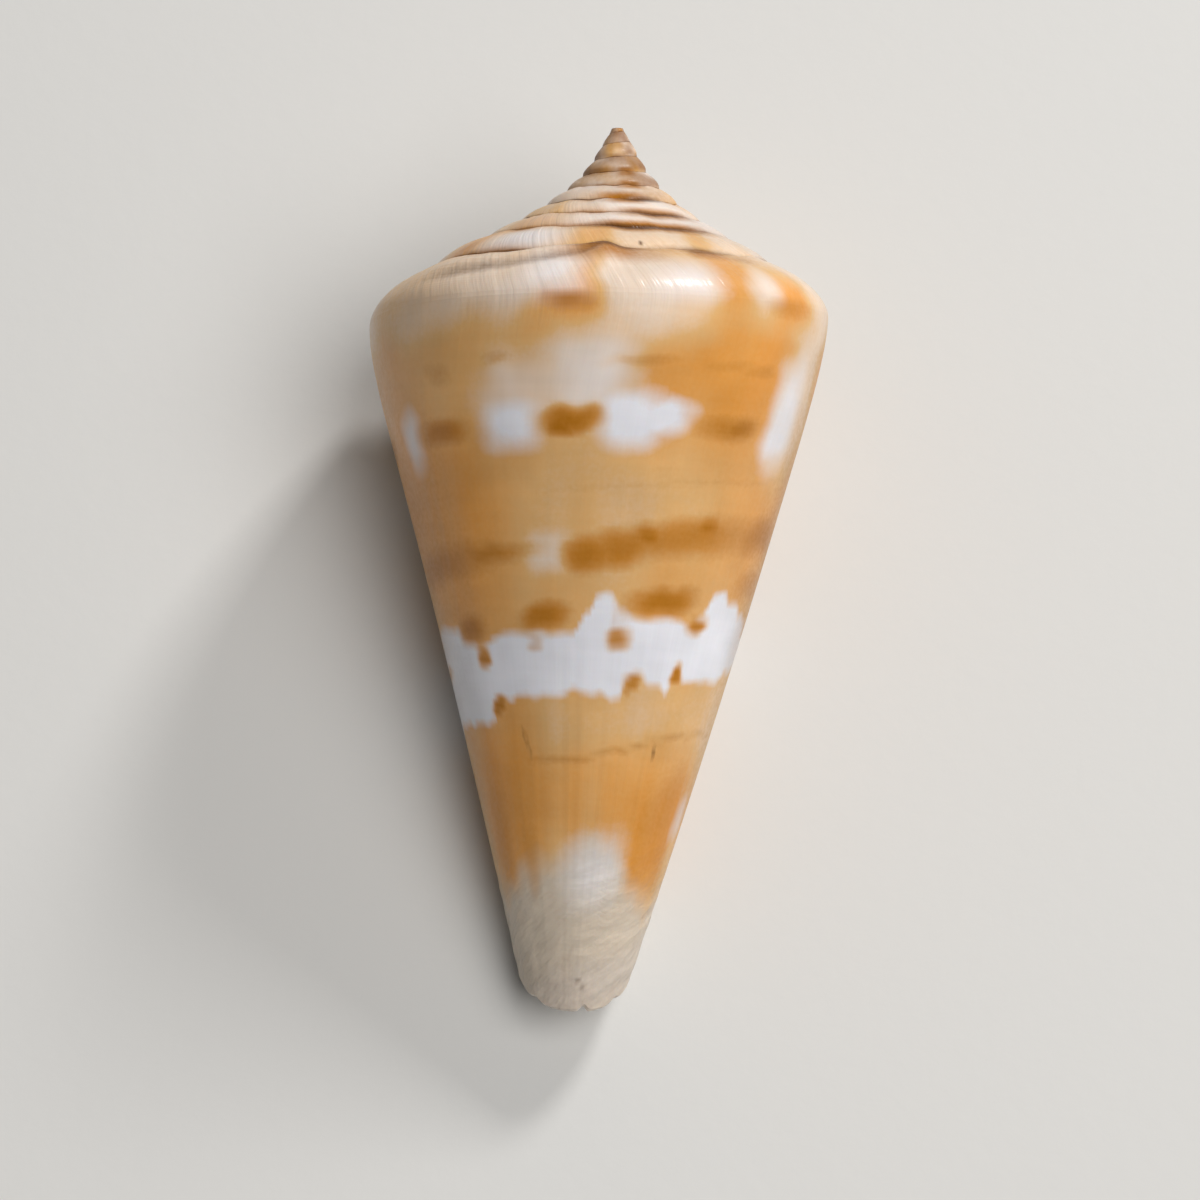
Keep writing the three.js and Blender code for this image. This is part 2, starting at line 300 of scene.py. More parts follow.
SIDE_WHITES = (
    (67, 40.4, 5, 1.9, 0.85, 0.85), (28, 41.3, 9, 1.6, 0.8, 0.95),
    (29, 43.2, 12, 2.2, 0.9, 0.3), (-4, 41.9, 9, 1.9, 0.7, 1),
    (-13, 42.2, 9, 1.2, 0.7, 1), (4, 44.6, 10, 2.6, 0.9, 0.4),
    (-58, 43.3, 8, 3.6, 0.8, 0.8), (-56, 41.6, 8, 1.5, 0.75, 0.85),
    (20, 32.5, 6, 0.9, 0.9, 0.12), (-4, 10, 20, 2.6, 0.95, 0.5),
    (0, 1.2, 120, 2.6, 0.9, 0.22), (-66, 14.2, 8, 1.6, 0.7, 0.7),
)
# Dark marks on the side: dashes, a scar and scratches, plus painted shade. (74, 33) and (-84, 34) are
# painted shade that darkens the side's left and right edges, and (0, 1.2) darkens the bottom end.
SIDE_STAINS_AND_SHADE = (
    (-29, 18.7, 0.8, 0.5, 0.6, 0.7), (35.5, 19.6, 0.9, 0.5, 0.9, 0.4),
    (34, 19, 0.9, 0.5, 0.9, 0.4), (32.5, 18.3, 0.9, 0.5, 0.9, 0.35),
    (0, 1.2, 120, 3, 0.9, 0.22), (74, 33, 28, 13, 0.9, 0.15),
    (-84, 34, 20, 22, 0.9, 0.28), (1, 2.1, 3.5, 0.22, 0.9, 0.6),
    (-4, 1.6, 3, 0.3, 0.9, 0.5),
)
# Marks on the ramps: angle, share of the way down, half width in degrees, half length as such a
# share, softness, value
RAMP_TONES = (
    (65, 0.6, 24, 0.7, 0.8, 0.45), (30, 0.7, 22, 0.6, 0.8, 0.05),
    (-2, 0.65, 10, 0.45, 0.6, 0), (9, 0.6, 4, 0.6, 0.9, 0.75),
    (13, 1.05, 7, 0.25, 0.9, 0.95), (-31, 0.7, 6, 0.6, 0.7, 0.85),
    (-53, 0.95, 9, 0.4, 0.9, 1), (-75, 0.7, 12, 0.6, 0.8, 0.15),
    (-297, 0.7, 9, 0.5, 0.7, 0.85), (-350, 0.6, 9, 0.6, 0.7, 0.7),
    (-372, 0.5, 12, 0.5, 0.7, 0.15), (-393, 0.5, 6, 0.5, 0.7, 0.7),
    (-405, 0.5, 8, 0.5, 0.7, 0.05), (-675, 0.5, 22, 0.6, 0.8, 0.7),
    (-712, 0.5, 14, 0.6, 0.8, 0.05),
)
RAMP_BROWNS = (
    (12.5, 1.07, 5, 0.12, 0.9, 0.9), (3, 0.18, 13, 0.24, 0.8, 1),
    (-12, 0.12, 11, 0.1, 0.8, 0.4), (-29, 0.15, 7, 0.13, 0.7, 0.9),
    (-41, 0.2, 7, 0.11, 0.8, 0.5), (-50, 1.02, 8, 0.14, 0.9, 0.55),
    (-298, 0.78, 6, 0.25, 0.8, 0.5), (-734, 0.92, 30, 0.24, 0.7, 1),
    (-374, 0.12, 30, 0.18, 0.8, 0.9), (-746, 0.16, 24, 0.24, 0.8, 0.9),
    (-1104, 0.92, 24, 0.22, 0.8, 0.9), (-1085, 0.15, 16, 0.25, 0.8, 0.9),
    (-1445, 0.9, 24, 0.35, 0.7, 1), (-1456, 0.12, 16, 0.2, 0.8, 0.9),
    (-1816, 0.88, 18, 0.3, 0.8, 0.9), (-1815, 0.15, 18, 0.3, 0.8, 0.9),
    (-2174, 0.95, 20, 0.3, 0.7, 0.9),
)
RAMP_WHITES_AND_HIGHLIGHT = (
    # (-19, 0.72) on this line is a white patch where the shoulder's shine falls: partly real white,
    # partly painted highlight
    (17, 0.66, 9, 0.45, 0.9, 0.6), (-19, 0.72, 9, 0.35, 0.9, 0.6),
    (-42, 0.72, 6, 0.28, 0.9, 0.5), (-324, 0.55, 16, 0.45, 0.8, 0.7),
)
# Dark marks on the ramps. Most lie at the top or foot of a ramp: these are the seams' dark lines, dirt
# and painted shade in the crease. (36, 0.44) is painted shade under the knob on the old break.
RAMP_STAINS_AND_SHADE = (
    (3, 0.07, 12, 0.09, 0.8, 0.8), (-29, 0.1, 8, 0.06, 0.8, 0.6),
    (36, 0.44, 4, 0.05, 0.8, 0.6), (-367, 0.8, 0.9, 0.08, 0.6, 0.9),
    (-374, 0.05, 29, 0.12, 0.8, 0.95), (-734, 0.98, 29, 0.12, 0.8, 0.9),
    (-746, 0.06, 23, 0.14, 0.8, 0.9), (-1106, 0.98, 23, 0.12, 0.8, 0.8),
    (-1100, 0.08, 20, 0.14, 0.8, 0.85), (-1461, 0.95, 20, 0.2, 0.8, 0.75),
    (-1816, 0.96, 15, 0.15, 0.8, 0.6),
)

TURN = 2 * math.pi
MM = 0.001
# Spots up to this turn count as the last whorl, which has no next seam on it
LAST_WHORL = 1.0001
FAR = 9


def linear(code):
    """Turn an sRGB hex colour into the linear values that Blender works in."""
    channels = [int(code[i:i + 2], 16) / 255 for i in (1, 3, 5)]
    return tuple(c / 12.92 if c <= 0.04045 else ((c + 0.055) / 1.055) ** 2.4 for c in channels)


def smoothstep(x, low, high):
    share = np.clip((x - low) / (high - low), 0.0, 1.0)
    return share * share * (3 - 2 * share)


def lerp(a, b, share):
    return a + (b - a) * share


def value_noise(seed, x, y=None):
    """Smooth noise from -1 to 1 with one bump per unit, in one or two directions."""
    lattice = np.random.default_rng(seed).uniform(-1, 1, (257, 257))
    y = np.zeros_like(x) if y is None else y
    ix, iy = np.floor(x).astype(int), np.floor(y).astype(int)
    fx, fy = smoothstep(x - ix, 0, 1), smoothstep(y - iy, 0, 1)
    x0, x1, y0, y1 = ix % 257, (ix + 1) % 257, iy % 257, (iy + 1) % 257
    near = lerp(lattice[x0, y0], lattice[x1, y0], fx)
    far = lerp(lattice[x0, y1], lattice[x1, y1], fx)
    return lerp(near, far, fy)


# How the outline of a whorl changes as the shell grows


def shoulder_radius(turns):
    return LIP_SHOULDER_RADIUS * np.exp(-turns * (SHRINK_PER_TURN + SHRINK_PER_TURN_SQUARED * turns))


def even_suture_height(turns):
    depth = LAST_SUTURE_DEPTH - CLIMB_PER_TURN * turns + FINAL_DROP * np.exp(-turns / FINAL_DROP_TURNS)
    return SHELL_LENGTH - TIP_ROUNDING * np.log1p(np.exp(depth / TIP_ROUNDING))


def suture_height(turns):
    """The suture as it really runs, with small slips up and down the whorl before."""
    slip = sum(size * value_noise(seed, turns * count) for seed, count, size in SEAM_SLIPS)
    slip = slip * np.minimum(1, shoulder_radius(turns) / FULL_SLIP_RADIUS)
    knob = KNOB_HEIGHT * np.exp(-((turns - KNOB_TURNS) / KNOB_WIDTH_TURNS) ** 2)
    return even_suture_height(turns) + knob + slip


def shoulder_height(turns):
    fall = (SHOULDER_FALL * shoulder_radius(turns)) ** FALL_BLEND + LEAST_RAMP_FALL ** FALL_BLEND
    return even_suture_height(turns) - fall ** (1 / FALL_BLEND)


def position_angle(turns):
    return LIP_ANGLE - TURN * turns


def side_radius(turns, share):
    cone = BASE_SHARE + (1 - BASE_SHARE + SHOULDER_EASING) * share
    cone = cone - SHOULDER_EASING * np.exp(-EASING_SHARPNESS * (1 - share))
    below = np.maximum(0, 1 - share)
    tuck = TUCK_SHARE * below ** TUCK_POWER * smoothstep(turns, TUCK_START, TUCK_END)
    return shoulder_radius(turns) * cone * (1 - tuck)


def straightness(turns):
    return lerp(RAMP_STRAIGHTNESS, EARLY_STRAIGHTNESS, smoothstep(turns, *EARLY_TURNS))


def ramp_shares(turns, travel):
    angle = travel * math.pi / 2
    out = np.sin(angle)
    straight = straightness(turns)
    return out, straight * out + (1 - straight) * (1 - np.cos(angle))


def ramp_travel(turns, down):
    straight = straightness(turns)
    bend = 1 - straight
    size = np.hypot(straight, bend)
    phase = np.arctan2(bend, straight)
    return (phase + np.arcsin(np.clip((down - bend) / size, -1, 1))) / (math.pi / 2)


def travel_at_height(turns, height):
    top, shoulder = suture_height(turns), shoulder_height(turns)
    on_ramp = ramp_travel(turns, (top - height) / (top - shoulder))
    on_side = 1 + (shoulder - height) / (SIDE_STEP * shoulder_radius(turns))
    return np.where(height > shoulder, on_ramp, on_side)


def travel_at_next_suture(turns):
    """Where the whorl after this one covers it, for turns past the first."""
    attached = np.maximum(turns, 1)
    return travel_at_height(attached, suture_height(attached - 1))


def suture_radius(turns):
    """A whorl starts on the whorl before it, so its inner radius is read off that one."""
    before = turns + 1
    oldest = FIRST_SEAM_SHARE * shoulder_radius(before)
    if turns.min() > TURN_COUNT - 1:
        return oldest
    height = suture_height(turns)
    travel = travel_at_height(before, height)
    on_side = side_radius(before, height / shoulder_height(before))
    on_ramp = lerp(suture_radius(before), shoulder_radius(before), ramp_shares(before, travel)[0])
    met = np.where(travel >= 1, on_side, on_ramp)
    return np.where(turns > TURN_COUNT - 1, oldest, met)


def rim_height(turns):
    angle = position_angle(turns)
    cut = BASE_SLANT * ((1 - np.cos(angle - BASE_TURN)) / 2) ** BASE_FLATNESS
    height = lerp(cut, COLUMELLA_END, smoothstep(turns, COLUMELLA_START, COLUMELLA_FULL))
    degrees = np.degrees(angle)
    for at, width, depth in RIM_DENTS:
        height = height + depth * np.exp(-((degrees - at) / width) ** 2)
    return height


def wall(turns, share):
    thickness = lerp(LIP_THICKNESS, WALL_THICKNESS, smoothstep(turns, 0, THICKENING_TURNS))
    return thickness * lerp(THINNESS_AT_BASE, 1, share)


class Steps:
    """Everything that growth steps need, one value for each column of a patch."""

    def __init__(self, turns):
        self.turns = turns = np.asarray(turns, float)
        attached = np.maximum(turns, 1)
        edge = suture_height(attached - 1)
        self.radius = shoulder_radius(turns)
        self.suture_radius = suture_radius(turns)
        self.suture_height = suture_height(turns)
        self.shoulder_height = shoulder_height(turns)
        self.meet = travel_at_next_suture(turns)
        self.under = travel_at_height(attached, edge - CEILING_THICKNESS)
        self.rim = 1 + (self.shoulder_height - rim_height(turns)) / (SIDE_STEP * self.radius)
        self.lead_from = self.outline(self.meet)[1]

    def outline(self, travel):
        """Radius and height of the outer skin."""
        out, down = ramp_shares(self.turns, np.minimum(travel, 1))
        ramp_radius = lerp(self.suture_radius, self.radius, out)
        ramp_height = lerp(self.suture_height, self.shoulder_height, down)
        side_height = self.shoulder_height - (travel - 1) * SIDE_STEP * self.radius
        on_side = side_radius(self.turns, side_height / self.shoulder_height)
        radius = np.where(travel <= 1, ramp_radius, on_side)
        height = np.where(travel <= 1, ramp_height, side_height)
        lift = self.relief(travel, height)
        lean = np.minimum(travel, 1) * math.pi / 2
        return radius + lift * np.sin(lean), height + lift * np.cos(lean)

    def relief(self, travel, height):
        """Ripples, cords, the old break and the seam's beads, in millimetres outwards."""
        line = growth_line(self.turns, travel)
        size = np.minimum(1, self.radius / FULL_RIPPLE_RADIUS)
        ramp = 1 - smoothstep(travel, *RAMP_ENDS)
        seed, count, change, fine = FINE_RIPPLES
        fine = (fine + FINE_RIPPLES_ON_RAMP * ramp) * size
        lift = fine * value_noise(seed, line * count, travel * change)
        for seed, count, change, ripple in RIPPLES:
            lift = lift + ripple * value_noise(seed, line * count, travel * change)
        lift = lift + cords(self.turns, height) + fold(self.turns, travel)
        to_next = np.abs(travel - self.meet)
        old = smoothstep(self.turns, *JOINED_TURNS)
        lift = lift * smoothstep(travel, 0, RIPPLE_START)
        lift = lift * lerp(1, smoothstep(to_next, 0, RIPPLE_END), old)
        uneven = BEAD_MEAN + BEAD_VARIATION * value_noise(14, self.turns * BEADS_PER_TURN)
        bead = np.exp(-travel / BEAD_WIDTH) + old * np.exp(-to_next / BEAD_WIDTH)
        bead = bead * smoothstep(travel, 0, BEAD_EDGE)
        bead = bead * lerp(1, smoothstep(to_next, 0, BEAD_EDGE), old)
        bead = bead * np.minimum(1, self.radius / FULL_BEAD_RADIUS)
        return lift * size + SEAM_BEAD * uneven * bead

    def inner_outline(self, travel):
        """Radius and height of the wall's inner face. Its ramp ends on the whorl before it."""
        before = Steps(self.turns[:, :1] + 1)
        start_radius, start_height = before.outline(before.under)
        out, down = ramp_shares(self.turns, np.minimum(travel, 1))
        thickness = wall(self.turns, 1)
        ramp_radius = lerp(start_radius, self.radius - thickness, out)
        ramp_height = lerp(start_height, self.shoulder_height - thickness / 2, down)
        side_height = self.shoulder_height - (travel - 1) * SIDE_STEP * self.radius
        share = side_height / self.shoulder_height
        outside = side_radius(self.turns, share)
        fallen = np.clip((travel - 1) / CEILING_EASING, 0, 1)
        return (
            np.where(travel <= 1, ramp_radius, outside - wall(self.turns, share)),
            np.where(travel <= 1, ramp_height, side_height - (1 - fallen) * thickness / 2),
        )

    def angle(self, height):
        """Growth lines lead the shoulder on the side of the whorl."""
        below = np.maximum(0, self.lead_from - height)
        return position_angle(self.turns) + TURN * LINE_LEAD * (1 - np.exp(-below / LINE_LEAD_HEIGHT))


def growth_line(turns, travel):
    """The turn at which a growth line through this place meets the shoulder."""
    return turns + LINE_SLANT * np.log1p(np.exp((1 - travel) * LINE_BEND)) / LINE_BEND


def cords(turns, height):
    """The spiral cords of the base, which wander a little and swell into beads."""
    wander = CORD_WANDER * value_noise(21, turns * WANDERS_PER_TURN, height * WANDERS_PER_MM)
    wave = np.sin(TURN * ((height - CORD_RISE_PER_TURN * turns) / CORD_PERIOD + wander))
    beads = value_noise(22, turns * CORD_BEADS_PER_TURN, height * CORD_BEADS_PER_MM)
    share = 1 - smoothstep(height, CORDS_FULL, CORDS_END)
    return CORD_DEPTH * share * CORD_MEAN * (1 + beads) * wave


def fold_offset(turns, travel):
    """How far down the ramp a place is from the old break, and how much of it is there."""
    degrees = np.degrees(position_angle(turns))
    angles, travels = np.array(FOLD).T
    there = smoothstep(degrees, *FOLD_START) * (1 - smoothstep(degrees, *FOLD_END))
    return travel - np.interp(degrees, angles, travels), there


def fold(turns, travel):
    offset, there = fold_offset(turns, travel)
    ridge = FOLD_HEIGHT * np.exp(-((offset - FOLD_RIDGE_AT) / FOLD_RIDGE_WIDTH) ** 2)
    groove = FOLD_GROOVE * np.exp(-((offset - FOLD_GROOVE_AT) / FOLD_GROOVE_WIDTH) ** 2)
    return (ridge - groove) * there


def bow(height):
    return AXIS_BOW * (1 - (2 * height / SHELL_LENGTH - 1) ** 2)


def placed(radius, height, angle):
    across = bow(height) - radius * np.sin(angle)
    return np.stack([across, -radius * np.cos(angle), height], axis=-1)


def crowded(share):
    return share - END_CROWDING * np.sin(TURN * share) / TURN


def stretch(low, high, share):
    return lerp(low, high, crowded(np.clip(share, 0, 1)))


def body_travel(steps, row):
    """Travel of a row of the last whorl: ramp, fused edge, side."""
    ramp = stretch(0, steps.meet, row / RAMP_ROWS)
    edge = lerp(steps.meet, steps.under, (row - RAMP_ROWS) / EDGE_ROWS)
    side = stretch(steps.under, steps.rim, (row - RAMP_ROWS - EDGE_ROWS) / SIDE_ROWS)
    return np.where(row <= RAMP_ROWS, ramp, np.where(row <= RAMP_ROWS + EDGE_ROWS, edge, side))


BODY_ROWS = RAMP_ROWS + EDGE_ROWS + SIDE_ROWS
SLIT_COLUMNS = round(SLIT_TURNS * COLUMNS_PER_TURN)


# The patches of the closed skin. Each gives places, turns, travels and, from 0 outside to 1
# within the mouth, how far inside they lie.


def outer_patch(turns, travel_of, row):
    steps = Steps(turns)
    travel = travel_of(steps, row)
    radius, height = steps.outline(travel)
    return placed(radius, height, steps.angle(height)), turns, travel, 0


def body_patch(turns, row):
    return outer_patch(turns, body_travel, row)


def spire_patch(turns, row):
    return outer_patch(turns, lambda steps, row: stretch(0, steps.meet, row / RAMP_ROWS), row)


def belly_patch(turns, row):
    """The whorl before, where the slit lays it bare."""
    places, turns, travel, _ = outer_patch(
        turns, lambda steps, row: stretch(steps.under, steps.rim, row / SIDE_ROWS), row
    )
    return places, turns, travel, smoothstep(turns, *GLAZE_TURNS)


def inner_patch(turns, row):
    steps = Steps(turns)
    travel = body_travel(steps, row)
    radius, height = steps.inner_outline(travel)
    places = placed(radius, height, steps.angle(height))
    first = belly_patch(turns + 1, np.zeros_like(row))[0]
    before = Steps(turns + 1)
    first_height = before.outline(before.under)[1]
    turned = placed(radius, height, before.angle(first_height))
    near_first = (1 - smoothstep(travel, 0, CEILING_EASING))[..., None]
    places = lerp(places, turned, near_first)
    return np.where((row == 0)[..., None], first, places), turns, travel, 1


def lip_patch(column, row):
    """The lip's edge, rounded a little, from the outer skin to the inner one."""
    none = np.zeros_like(row)
    outer, _, travel, _ = body_patch(none, row)
    inner = inner_patch(none, row)[0]
    share = column / EDGE_ROWS
    across = share[..., None]
    fused = body_patch(none + 1, RAMP_ROWS + column)[0]
    first_outer = body_patch(none, none)[0]
    first_inner = inner_patch(none, none)[0]
    near_top = np.clip(1 - row / LIP_TOP_ROWS, 0, 1)[..., None]
    forward = np.array([-math.cos(LIP_ANGLE), math.sin(LIP_ANGLE), 0.0])
    ends = smoothstep(row, 0, LIP_BULGE_FROM_TOP)
    ends = ends * smoothstep(BODY_ROWS - row, 0, LIP_BULGE_FROM_BASE)
    bulge = LIP_BULGE * np.sin(math.pi * share) * ends
    places = lerp(outer, inner, across) + bulge[..., None] * forward
    places = places + (fused - lerp(first_outer, first_inner, across)) * near_top
    return places, none, travel, share


def rim_patch(turns, row):
    """The wall's worn edge at the base."""
    last = np.full_like(turns, BODY_ROWS)
    outer, _, travel, _ = body_patch(turns, last)
    inner = inner_patch(turns, last)[0]
    ends = smoothstep(turns, 0, RIM_BULGE_TURNS) * smoothstep(SLIT_TURNS - turns, 0, RIM_BULGE_TURNS)
    share = row / EDGE_ROWS
    places = lerp(outer, inner, share[..., None])
    places[..., 2] -= RIM_BULGE * np.sin(math.pi * share) * ends
    return places, turns, travel, share


def blind_patch(column, row):
    """The slit's blind end, between the inner face and the belly."""
    deep = np.full_like(row, SLIT_TURNS)
    inner, _, travel, inside = inner_patch(deep, row)
    belly = belly_patch(deep + 1, np.maximum(0, row - RAMP_ROWS - EDGE_ROWS))[0]
    return lerp(inner, belly, column[..., None]), deep, travel, inside


def columella_patch(turns, row):
    """The columella's end: a spiral floor that starts across the wall and the slit's blind end."""
    on_body = turns <= 1
    body = body_patch(np.minimum(turns, 1), np.full_like(turns, BODY_ROWS))[0]
    belly = belly_patch(np.maximum(turns, 1), np.full_like(turns, SIDE_ROWS))[0]
    edge = np.where(on_body[..., None], body, belly)
    wall_row = np.minimum(row, EDGE_ROWS)
    across = rim_patch(np.full_like(turns, SLIT_TURNS), wall_row)[0]
    past_slit = belly_patch(
        np.full_like(turns, SLIT_TURNS + 1), np.full_like(turns, SIDE_ROWS)
    )[0]
    start = np.where((row <= EDGE_ROWS)[..., None], across, past_slit)
    first = body_patch(np.full_like(turns, SLIT_TURNS), np.full_like(turns, BODY_ROWS))[0]
    left = (1 - (turns - SLIT_TURNS))[..., None]
    ledge = edge + (start - first) * left
    ledge = np.where(((row == 0) | (turns >= SLIT_TURNS + 1))[..., None], edge, ledge)
    ledge = np.where((turns <= SLIT_TURNS)[..., None], start, ledge)
    middle = placed(np.zeros(1), np.array([COLUMELLA_END - COLUMELLA_PIT]), np.zeros(1))
    inward = np.clip((row - EDGE_ROWS - 1) / (COLUMELLA_ROWS - EDGE_ROWS - 1), 0, 1)
    places = lerp(ledge, middle, inward[..., None])
    bulge = COLUMELLA_BULGE * smoothstep(inward, 0, COLUMELLA_BULGE_START)
    places[..., 2] -= bulge * np.sin(math.pi * inward)
    return places, turns, BASE_TRAVEL, np.minimum(1, row / EDGE_ROWS)


def tip_patch(turns, row):
    edge, _, travel, inside = spire_patch(turns, np.zeros_like(row))
    tip = placed(np.zeros(1), np.array([SHELL_LENGTH]), np.zeros(1))
    return lerp(edge, tip, row[..., None]), turns, travel, inside


def tip_end_patch(column, row):
    edge, turns, travel, inside = spire_patch(np.full_like(row, TURN_COUNT), column)
    tip = placed(np.zeros(1), np.array([SHELL_LENGTH]), np.zeros(1))
    return lerp(edge, tip, row[..., None]), turns, travel, inside


def laid_down(places):
    """Turn the shell on to its mouth."""
    turn = Matrix.Rotation(REST_TILT - math.pi / 2, 3, "X") @ Matrix.Rotation(REST_ROLL, 3, "Z")
    return places @ np.array(turn).T


def add_patch(bm, spots, columns, rows, first_turn, last_turn, warp, step=1):
    """Add a grid, bend it into a patch of the shell, and note what is known of each spot on it.

    A step of 2 leaves out every second row and column, but not along the patch's border.
    """
    before = len(bm.verts)
    grid = bmesh.ops.create_grid(
        bm, x_segments=columns // step, y_segments=rows // step, size=0.5
    )["verts"]
    if step > 1:
        border = {edge for vert in grid for edge in vert.link_edges if edge.is_boundary}
        bmesh.ops.subdivide_edges(bm, edges=list(border), cuts=step - 1)
    shape = (columns + 1, rows + 1)
    column, row = np.indices(shape).astype(float)
    places, turns, travel, inside = warp(lerp(first_turn, last_turn, column / columns), row)
    spots.append({
        "places": np.broadcast_to(places, shape + (3,)).reshape(-1, 3),
        "turns": np.broadcast_to(turns, shape).ravel(),
        "travel": np.broadcast_to(travel, shape).ravel(),
        "inside": np.broadcast_to(inside, shape).ravel(),
    })
    first = sum(len(patch["turns"]) for patch in spots[:-1])
    number = bm.verts.layers.int["vertex_spot"]
    for vert in list(bm.verts)[before:]:
        at_column = round((vert.co.x + 0.5) * columns)
        at_row = round((vert.co.y + 0.5) * rows)
        vert[number] = first + at_column * shape[1] + at_row


def grow(bm):
    """Build the closed skin. Each corner of a face keeps the number of the spot that it shows."""
    number = bm.verts.layers.int.new("vertex_spot")
    corner_number = bm.loops.layers.int.new("corner_spot")
    n, slit, last = COLUMNS_PER_TURN, SLIT_COLUMNS, TURN_COUNT
    fine_turns = COARSE_SPIRE_TURN - 1
    coarse_turns = last - COARSE_SPIRE_TURN
    spots = []
    for patch in (
        (n, BODY_ROWS, 0, 1, body_patch),
        (n * fine_turns, RAMP_ROWS, 1, COARSE_SPIRE_TURN, spire_patch),
        (n * coarse_turns, RAMP_ROWS, COARSE_SPIRE_TURN, last, spire_patch, 2),
        (slit, BODY_ROWS, 0, SLIT_TURNS, inner_patch, 2),
        (slit, SIDE_ROWS, 1, 1 + SLIT_TURNS, belly_patch, 2),
        (EDGE_ROWS, BODY_ROWS, 0, EDGE_ROWS, lip_patch),
        (slit, EDGE_ROWS, 0, SLIT_TURNS, rim_patch),
        (1, BODY_ROWS, 0, 1, blind_patch),
        (n, COLUMELLA_ROWS, SLIT_TURNS, 1 + SLIT_TURNS, columella_patch),
        (n, 1, last - 1, last, tip_patch),
        (RAMP_ROWS, 1, 0, RAMP_ROWS, tip_end_patch),
    ):
        add_patch(bm, spots, *patch)
    known = {key: np.concatenate([patch[key] for patch in spots]) for key in spots[0]}

    lying = laid_down(known["places"])
    lying[:, 2] = np.maximum(0, lying[:, 2] - lying[:, 2].min() - WORN_DEPTH)
    lying[:, :2] -= (lying[:, :2].min(axis=0) + lying[:, :2].max(axis=0)) / 2
    lying *= MM
    for vert in bm.verts:
        vert.co = lying[vert[number]]
    for face in bm.faces:
        for loop in face.loops:
            loop[corner_number] = loop.vert[number]
    bmesh.ops.remove_doubles(bm, verts=bm.verts, dist=WELD_DISTANCE)
    bmesh.ops.recalc_face_normals(bm, faces=bm.faces)
    for edge in bm.edges:
        edge.smooth = edge.calc_face_angle(math.pi) < CREASE_ANGLE
    return known


# The markings


def cover(angle, place, climb, mark):
    """How much of a mark covers each place: 1 in its middle, 0 well outside it."""
    at_angle, at_place, half_angle, half_place, softness = mark[:5]
    across = (angle - at_angle) / half_angle
    along = (place - at_place + climb * (angle - at_angle)) / half_place
    reach = np.abs(across) ** MARK_SQUARENESS + np.abs(along) ** MARK_SQUARENESS
    return 1 - smoothstep(reach ** (1 / MARK_SQUARENESS), 1 - softness, 1 + softness)


def with_marks(field, angle, place, climb, marks):
    """Lay marks over a field in order. Each draws it towards its own value."""
    for mark in marks:
        field = lerp(field, mark[5], cover(angle, place, climb, mark))
    return field


def with_spots(field, angle, place, climb, marks):
    """Lay marks over a field, where a mark only adds."""
    for mark in marks:
        field = np.maximum(field, mark[5] * cover(angle, place, climb, mark))
    return field


def line_height(points, angle):
    """Height of an outline that is listed point by point, with rounded steps between them."""
    angles, heights = np.array(points[::-1], float).T
    number = np.clip(np.searchsorted(angles, angle) - 1, 0, len(angles) - 2)
    share = smoothstep(angle, angles[number], angles[number + 1])
    return lerp(heights[number], heights[number + 1], share)


def hidden_row(chance, height, half_height, spacing, value):
    """A row of marks carried on round the side that the photograph doesn't show."""
    marks = []
    for first, last in HIDDEN_STRETCHES:
        angle = first
        while angle > last:
            mark_height = height - ROW_CLIMB_PER_TURN * angle / 360
            mark_height += chance.normal(0, HIDDEN_HEIGHT_SPREAD)
            marks.append((
                angle, mark_height, spacing * chance.uniform(*HIDDEN_WIDTHS),
                half_height * chance.uniform(*HIDDEN_HEIGHTS), chance.uniform(*HIDDEN_SOFTNESS),
                value * chance.uniform(*HIDDEN_VALUES),
            ))
            angle -= spacing * chance.uniform(*HIDDEN_SPACINGS)
    return marks


def mark_noise(name, across, along=0):
    seed, mean, size, bump_across, bump_along = MARK_NOISE[name]
    along = along / bump_along + np.zeros_like(across)
    return mean + size * value_noise(seed, across / bump_across, along)


def beside_seams(widths, travel, to_next):
    return np.exp(-travel / widths[0]) + np.exp(-to_next / widths[1])


